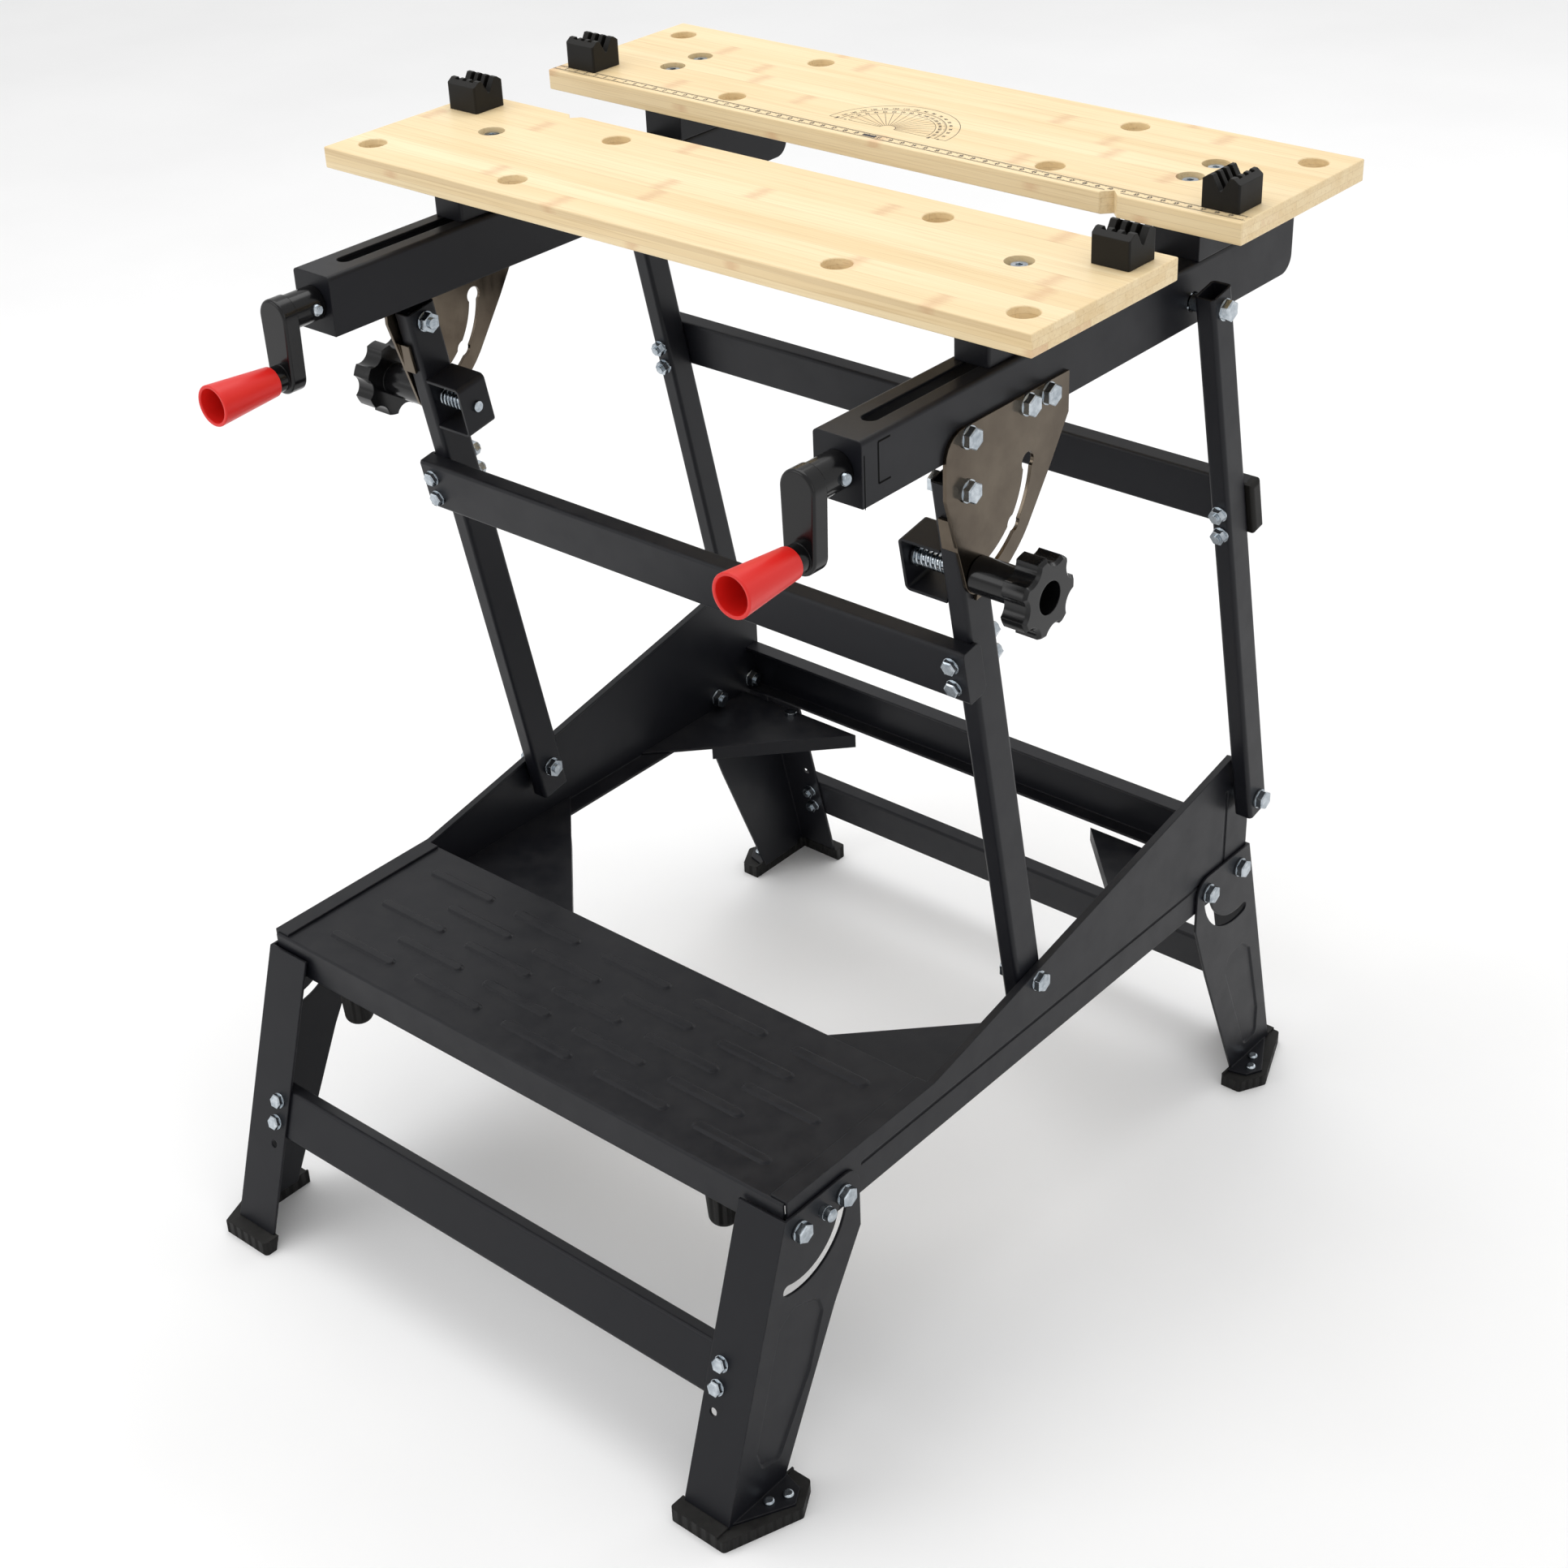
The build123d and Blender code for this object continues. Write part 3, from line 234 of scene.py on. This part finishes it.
def bamboo_group():
    """Pressed bamboo: strips along X in layers, straight fibres, knuckles where the stalk was jointed."""
    tree, w, given, out = start_group(
        "bamboo strips",
        [("Point", "Vector", None), ("Strip Width", "Float", 0.0215), ("Layer", "Float", 0.0052)],
        [("Color", "Color"), ("Roughness", "Float"), ("Height", "Float")])
    x, y, z = w.add("SeparateXYZ", {0: given["Point"]}).outputs
    layer = w.math("FLOOR", w.math("DIVIDE", z, given["Layer"]))
    across = w.math("ADD", w.math("DIVIDE", y, given["Strip Width"]), w.math("MULTIPLY", layer, 0.37))
    strip = w.math("FLOOR", across)
    seat = w.add("CombineXYZ", {0: strip, 1: layer}).outputs[0]
    tone = w.add("TexWhiteNoise", {"Vector": seat}, noise_dimensions="3D").outputs["Value"]
    knot_at = w.add("TexWhiteNoise", {"Vector": w.stretch(seat, (1, 1, 1), (7.3, 2.1, 0))},
                    noise_dimensions="3D").outputs["Value"]
    slide = w.math("ADD", w.math("DIVIDE", x, 0.31), w.math("MULTIPLY", knot_at, 5.0))
    along = w.math("ABSOLUTE", w.math("SUBTRACT", w.math("FRACT", slide), 0.5))
    ragged = w.noise(w.stretch(given["Point"], (60, 500, 200)), 1.0, 3.0, 0.7)
    knuckle = w.spread(w.math("MULTIPLY_ADD", ragged, 0.05, along), 0.052, 0.028)
    fibre = w.noise(w.stretch(given["Point"], (9, 620, 620)), 1.0, 4.0, 0.62)
    broad = w.noise(w.stretch(given["Point"], (2.2, 110, 110)), 1.0, 3.0, 0.55)
    cloud = w.noise(w.stretch(given["Point"], (5, 14, 14)), 1.0, 2.0, 0.5)
    pale, honey = (0.885, 0.725, 0.455, 1.0), (0.755, 0.555, 0.285, 1.0)
    depth = w.math("ADD", w.math("MULTIPLY", tone, 0.34), w.math("MULTIPLY", broad, 0.62))
    depth = w.math("ADD", depth, w.math("MULTIPLY", cloud, 0.3))
    base = w.mix(w.spread(depth, 0.35, 1.0), pale, honey)
    lines = w.spread(fibre, 0.50, 0.74)
    base = w.mix(w.math("MULTIPLY", lines, 0.42), base, (0.52, 0.33, 0.13, 1.0))
    base = w.mix(w.math("MULTIPLY", knuckle, 0.42), base, (0.60, 0.32, 0.16, 1.0))
    seam_y = w.math("ABSOLUTE", w.math("SUBTRACT", w.math("FRACT", across), 0.5))
    depth_in = w.math("FRACT", w.math("DIVIDE", z, given["Layer"]))
    seam_z = w.math("ABSOLUTE", w.math("SUBTRACT", depth_in, 0.5))
    glue = w.math("MAXIMUM", w.spread(seam_y, 0.488, 0.4985), w.spread(seam_z, 0.455, 0.495))
    base = w.mix(w.math("MULTIPLY", glue, 0.34), base, (0.42, 0.26, 0.11, 1.0))
    w.feed(out["Color"], base)
    w.feed(out["Roughness"], w.spread(fibre, 0.3, 0.8, 0.40, 0.56))
    w.feed(out["Height"], w.math("SUBTRACT", fibre, w.math("MULTIPLY", glue, 0.8)))
    return tree


coat_skin, edge_wear = coat_group(), edge_wear_group()
plating, bamboo_strips = plating_group(), bamboo_group()


# ---------------------------------------------------------------- finishes
RIB_PITCH = 0.0085          # upright ribs round the feet
THREAD_PITCH = 0.002
BOARD_MIDDLE = 0.767        # height about which the bamboo layers are laid


def new_finish(name):
    material = bpy.data.materials.new(name)
    material.use_nodes = True
    wires = Wires(material.node_tree)
    shader = material.node_tree.nodes["Principled BSDF"]
    point = wires.add("TexCoord").outputs["Object"]
    return material, wires, shader, point


def relief(wires, shader, height, distance, strength, normal=None):
    bump = wires.add("Bump", {"Height": height, "Distance": distance, "Strength": strength})
    if normal is not None:
        wires.feed(bump.inputs["Normal"], normal)
    wires.feed(shader.inputs["Normal"], bump.outputs[0])


def coated(name, tone, roughness, pebble, depth, drift=0.3, dust=0.04, wear=0.0,
           wear_tone=(0.3, 0.3, 0.31, 1), edge=0.0009, coat=0.0, strength=0.35, gloss=0.5):
    material, w, shader, point = new_finish(name)
    skin = use_group(w, coat_skin, {"Point": point, "Tone": (*tone, 1.0), "Pebble Scale": pebble,
                                    "Roughness": roughness, "Drift": drift, "Dust": dust})
    worn = use_group(w, edge_wear, {"Point": point, "Width": edge, "Amount": wear})
    w.feed(shader.inputs["Base Color"], w.mix(worn["Mask"], skin["Color"], wear_tone))
    w.feed(shader.inputs["Roughness"], skin["Roughness"])
    shader.inputs["Specular IOR Level"].default_value = gloss
    shader.inputs["Coat Weight"].default_value = coat
    shader.inputs["Coat Roughness"].default_value = 0.12
    relief(w, shader, skin["Height"], depth, strength, worn["Normal"])
    return material


def plated(name, bright, dull, roughness, streak, edge=0.0005, depth=0.00004, grain=1.0):
    material, w, shader, point = new_finish(name)
    skin = use_group(w, plating, {"Point": point, "Bright": (*bright, 1.0), "Dull": (*dull, 1.0),
                                  "Roughness": roughness, "Streak": streak, "Grain": grain})
    worn = use_group(w, edge_wear, {"Point": point, "Width": edge, "Amount": 0.0})
    w.feed(shader.inputs["Base Color"], skin["Color"])
    w.feed(shader.inputs["Roughness"], skin["Roughness"])
    shader.inputs["Metallic"].default_value = 1.0
    relief(w, shader, skin["Height"], depth, 0.4, worn["Normal"])
    return material


def make_bamboo():
    material, w, shader, point = new_finish("lacquered bamboo")
    placed = w.stretch(point, (1, 1, 1), (0.0, 0.0, -BOARD_MIDDLE))
    strips = use_group(w, bamboo_strips, {"Point": placed})
    rounded = use_group(w, edge_wear, {"Point": point, "Width": 0.0007, "Amount": 0.0})
    w.feed(shader.inputs["Base Color"], strips["Color"])
    w.feed(shader.inputs["Roughness"], strips["Roughness"])
    shader.inputs["Coat Weight"].default_value = 0.12
    shader.inputs["Coat Roughness"].default_value = 0.3
    relief(w, shader, strips["Height"], 0.00006, 0.5, rounded["Normal"])
    return material


def make_rubber():
    """Moulded foot rubber: upright ribs round the sides, fine grain on the rest."""
    material, w, shader, point = new_finish("black rubber")
    skin = use_group(w, coat_skin, {"Point": point, "Tone": (0.0088, 0.0085, 0.0080, 1.0),
                                    "Pebble Scale": 1100.0, "Roughness": 0.66, "Drift": 0.3, "Dust": 0.04})
    rounded = use_group(w, edge_wear, {"Point": point, "Width": 0.0012, "Amount": 0.0})
    place = w.add("SeparateXYZ", {0: point}).outputs
    upright = w.add("SeparateXYZ", {0: w.add("NewGeometry").outputs["Normal"]}).outputs[2]
    rib = w.math("SINE", w.math("MULTIPLY", w.math("ADD", place[0], place[1]), 2 * pi / RIB_PITCH))
    side = w.spread(w.math("ABSOLUTE", upright), 0.5, 0.2)
    w.feed(shader.inputs["Base Color"], skin["Color"])
    w.feed(shader.inputs["Roughness"], skin["Roughness"])
    shader.inputs["Specular IOR Level"].default_value = 0.22
    height = w.math("ADD", w.math("MULTIPLY", rib, side), w.math("MULTIPLY", skin["Height"], 0.15))
    relief(w, shader, height, 0.0011, 0.9, rounded["Normal"])
    return material


def make_thread():
    """Bright steel screw: a rolled thread in the bump, along Y."""
    material, w, shader, point = new_finish("spindle steel")
    skin = use_group(w, plating, {"Point": point, "Bright": (0.62, 0.62, 0.63, 1.0),
                                  "Dull": (0.36, 0.36, 0.37, 1.0), "Roughness": 0.3,
                                  "Streak": (300.0, 40.0, 300.0)})
    y = w.add("SeparateXYZ", {0: point}).outputs[1]
    thread = w.math("PINGPONG", y, THREAD_PITCH / 2)
    w.feed(shader.inputs["Base Color"], skin["Color"])
    w.feed(shader.inputs["Roughness"], skin["Roughness"])
    shader.inputs["Metallic"].default_value = 1.0
    relief(w, shader, w.math("MULTIPLY", thread, 2 / THREAD_PITCH), 0.0008, 0.9)
    return material


finish = {
    "powder_black": coated(
        "black powder coat", (0.0062, 0.0066, 0.0092), 0.38, 1500.0, 0.00008, dust=0.02, wear=0.10,
        wear_tone=(0.16, 0.16, 0.165, 1), edge=0.0012, strength=0.3, gloss=0.24),
    "black_plastic": coated(
        "glossy black plastic", (0.0035, 0.0035, 0.0040), 0.18, 500.0, 0.00003, dust=0.01, edge=0.0010,
        coat=0.08, strength=0.2, gloss=0.3),
    "dog_plastic": coated(
        "matte black plastic", (0.0068, 0.0062, 0.0052), 0.50, 1400.0, 0.00012, dust=0.02, wear=0.10,
        wear_tone=(0.05, 0.05, 0.05, 1), edge=0.0007, gloss=0.22),
    "red_plastic": coated(
        "red plastic", (0.70, 0.014, 0.010), 0.36, 800.0, 0.00004, drift=0.16, dust=0.01, edge=0.0005,
        strength=0.25, gloss=0.45),
    "black_rubber": make_rubber(),
    "zinc": plated(
        "bright zinc", (0.62, 0.67, 0.71), (0.24, 0.28, 0.32), 0.20, (700.0, 200.0, 700.0)),
    "galvanised": plated(
        "galvanised sheet", (0.150, 0.124, 0.094), (0.082, 0.064, 0.048), 0.20, (900.0, 90.0, 28.0),
        edge=0.0006, depth=0.00002, grain=0.12),
    "nut_brass": plated("brass", (0.78, 0.60, 0.30), (0.55, 0.40, 0.18), 0.32, (400.0, 400.0, 60.0)),
    "bamboo": make_bamboo(),
    "spindle_steel": make_thread(),
    "print_ink": coated("printing ink", (0.022, 0.020, 0.026), 0.6, 900.0, 0.00001, drift=0.5, dust=0.0),
    # cut_shadow: near-black finish for flat strips that stand in for the shadow inside cuts and slits
    # (painted shadow)
    "cut_shadow": coated("painted cut shadow", (0.002, 0.002, 0.002), 0.8, 900.0, 0.00001, dust=0.0, gloss=0.1),
}

for row in frame["record"]["subparts"]:
    for slot in nodes[row["node"]].material_slots:
        slot.material = finish[row["material_slot"]]


# ---------------------------------------------------------------- mesh helpers
def piece(name, shape, body, slot, surface=None):
    """Turns a bmesh into a finished piece that rides on a body."""
    mesh = bpy.data.meshes.new(name)
    shape.to_mesh(mesh)
    shape.free()
    made = bpy.data.objects.new(name, mesh)
    made.data.materials.append(finish[surface or slot])
    bpy.context.collection.objects.link(made)
    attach(made, body)
    return made


def add_bar(shape, x, y, width, depth, z, turn=0.0):
    """Flat printed bar about a point, face up, in millimetres."""
    place = Matrix.Translation(Vector((x, y, z)) * MM) @ Matrix.Rotation(turn, 4, "Z")
    scale = Matrix.Diagonal((width * MM, depth * MM, 1.0, 1.0))
    bmesh.ops.create_grid(shape, x_segments=1, y_segments=1, size=0.5, matrix=place @ scale)


def add_arc(shape, x, y, z, radius, width, sweep=pi):
    """Printed ring segment: a short radial edge spun about the centre."""
    edge = [shape.verts.new(Vector((x + r, y, z)) * MM) for r in (radius - width / 2, radius + width / 2)]
    start = edge + [shape.edges.new(edge)]
    bmesh.ops.spin(shape, geom=start, cent=Vector((x, y, z)) * MM, axis=(0, 0, 1), angle=sweep, steps=72,
                   use_merge=False)


def add_text(shape, words, size, place, turn=0.0, weight=0.13):
    """Printed characters centred on a point, size in millimetres, laid face up."""
    curve = bpy.data.curves.new("figures", "FONT")
    curve.body = words
    curve.size = size * MM
    curve.offset = weight * MM
    curve.resolution_u = 2
    curve.align_x, curve.align_y = "CENTER", "CENTER"
    holder = bpy.data.objects.new("figures", curve)
    mesh = bpy.data.meshes.new_from_object(holder)
    mesh.transform(Matrix.Translation(Vector(place) * MM) @ Matrix.Rotation(turn, 4, "Z"))
    shape.from_mesh(mesh)
    bpy.data.objects.remove(holder)
    bpy.data.curves.remove(curve)
    bpy.data.meshes.remove(mesh)


# ---------------------------------------------------------------- printing on the rear board
board_low, board_high = (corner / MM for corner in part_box("rear_board"))
PRINT_Z = board_high.z + 0.06
NOTCH_X, NOTCH_HALF = 203.0, 6.0
RULE_FROM, RULE_TO = 4.6, 12.4            # band of the rule, back from the front edge
RULE_LINE, RULE_TICK = 0.36, 0.42
CENTRE_BACK = 27.8                        # centre of the protractor, back from the front edge
RINGS = ((51.0, 0.42), (41.5, 0.32), (34.0, 0.36), (6.2, 0.36))


def print_ruler():
    """Centimetre rule along the front edge, 0 at the left end, broken at the notch."""
    shape = bmesh.new()
    start = board_low.x + 1.5
    low, high = board_low.y + RULE_FROM, board_low.y + RULE_TO
    ends = board_low.x + 0.8, board_high.x - 0.8
    for a, b in ((ends[0], NOTCH_X - NOTCH_HALF), (NOTCH_X + NOTCH_HALF, ends[1])):
        add_bar(shape, (a + b) / 2, low, b - a, RULE_LINE, PRINT_Z)
    add_bar(shape, 0.0, high, ends[1] - ends[0], RULE_LINE, PRINT_Z)
    for mark in range(601):
        x = start + mark
        tall = 3.0 if mark % 10 == 0 else 2.3 if mark % 5 == 0 else 1.5
        add_bar(shape, x, high - tall / 2, RULE_TICK, tall, PRINT_Z)
        if abs(x - NOTCH_X) > NOTCH_HALF:
            add_bar(shape, x, low + tall * 0.4, RULE_TICK, tall * 0.8, PRINT_Z)
    for centimetre in range(1, 60):
        if centimetre != 30:
            add_text(shape, str(centimetre), 3.6, (start + centimetre * 10, (low + high) / 2 - 0.3, PRINT_Z))
    add_bar(shape, start + 301.5, (low + high) / 2 - 0.3, 11.5, 3.6, PRINT_Z + 0.01)
    piece("ruler_print", shape, "top", "bamboo", "print_ink")


def print_protractor():
    """Half-circle scale from 0 to 180 degrees in both directions, with ten-degree rays."""
    shape = bmesh.new()
    x, y = 0.0, board_low.y + CENTRE_BACK
    for radius, width in RINGS:
        add_arc(shape, x, y, PRINT_Z, radius, width)
    for side in (-1, 1):
        add_bar(shape, x + side * 46.2, y, 9.6, 0.36, PRINT_Z)
        add_bar(shape, x + side * 20.0, y, 28.0, 0.36, PRINT_Z)
    for degree in range(0, 181, 2):
        a = radians(degree)
        tall = 2.4 if degree % 10 == 0 else 1.3
        reach = RINGS[1][0] - tall / 2
        add_bar(shape, x + reach * cos(a), y + reach * sin(a), tall, 0.26, PRINT_Z, a)
        if degree % 10 == 0:
            add_bar(shape, x + 20.1 * cos(a), y + 20.1 * sin(a), 27.8, 0.32, PRINT_Z, a)
            for radius, label in ((44.4, degree), (36.9, 180 - degree)):
                place = (x + radius * cos(a), y + radius * sin(a), PRINT_Z)
                add_text(shape, str(label), 3.3, place, a - pi / 2, 0.08)
    piece("protractor_print", shape, "top", "bamboo", "print_ink")


print_ruler()
print_protractor()


# ---------------------------------------------------------------- painted shadow in the cuts on the rails
def rail_marks(side, hand):
    """Painted shadow on the outer wall: dark strips outlining the tab near the front, and a dark line at the
    corner slit.
    """
    low, high = (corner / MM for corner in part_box("rail_" + side))
    face = (high.x if hand > 0 else low.x) + hand * 0.08
    y, z = low.y + 15.0, (low.z + high.z) / 2 + 3.0
    shape = bmesh.new()
    # flat strips carrying painted shadow where the tab's outline and the corner slit are cut
    bars = ((y, z, 1.3, 26.0), (y + 5.5, z + 13.0, 11.0, 1.3), (y + 5.5, z - 13.0, 11.0, 1.3),
            (low.y + 2.2, z - 8.0, 0.9, 34.0))
    for at_y, at_z, long_y, long_z in bars:
        place = Matrix.Translation(Vector((face, at_y, at_z)) * MM) @ Matrix.Rotation(hand * pi / 2, 4, "Y")
        scale = Matrix.Diagonal((long_z * MM, long_y * MM, 1.0, 1.0))
        bmesh.ops.create_grid(shape, x_segments=1, y_segments=1, size=0.5, matrix=place @ scale)
    piece("rail_marks_" + side, shape, "top", "powder_black", "cut_shadow")


rail_marks("R", 1)
rail_marks("L", -1)


# ---------------------------------------------------------------- lock springs
def coil_spring(side):
    """Compression coil round the lock stud, between the post and the stud's collar."""
    low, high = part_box("lock_spring_" + side)
    x0, x1 = low.x, high.x
    centre = (low + high) / 2
    ring, wire, turns, per_turn = 0.0062, 0.00078, 7, 20
    shape = bmesh.new()
    place = Matrix.Translation((x0 + wire, centre.y, centre.z + ring))
    bmesh.ops.create_circle(shape, cap_ends=True, segments=8, radius=wire,
                            matrix=place @ Matrix.Rotation(pi / 2, 4, "X"))
    climb = (x1 - x0 - 2 * wire) / (turns * per_turn)
    geom = list(shape.verts) + list(shape.edges) + list(shape.faces)
    bmesh.ops.spin(shape, geom=geom, cent=(x0, centre.y, centre.z), axis=(1, 0, 0), dvec=(climb, 0, 0),
                   angle=2 * pi * turns, steps=turns * per_turn, use_duplicate=False)
    bmesh.ops.recalc_face_normals(shape, faces=shape.faces)
    for face in shape.faces:
        face.smooth = len(face.verts) == 4
    made = piece("spring_" + side, shape, "lock_" + side, "zinc")
    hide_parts("lock_spring_" + side)
    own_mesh(made)


coil_spring("R")
coil_spring("L")


# ---------------------------------------------------------------- floor
def make_floor():
    shape = bmesh.new()
    bmesh.ops.create_grid(shape, x_segments=1, y_segments=1, size=12.0)
    mesh = bpy.data.meshes.new("floor")
    shape.to_mesh(mesh)
    shape.free()
    floor = bpy.data.objects.new("floor", mesh)
    bpy.context.collection.objects.link(floor)
    material, w, shader, point = new_finish("pale floor")
    tone = w.spread(w.noise(point, 3.0, 3.0, 0.5), 0.3, 0.7, 0.93, 0.96)
    w.feed(shader.inputs["Base Color"], w.add("CombineXYZ", {0: tone, 1: tone, 2: tone}).outputs[0])
    shader.inputs["Roughness"].default_value = 0.9
    shader.inputs["Specular IOR Level"].default_value = 0.1
    floor.data.materials.append(material)


make_floor()
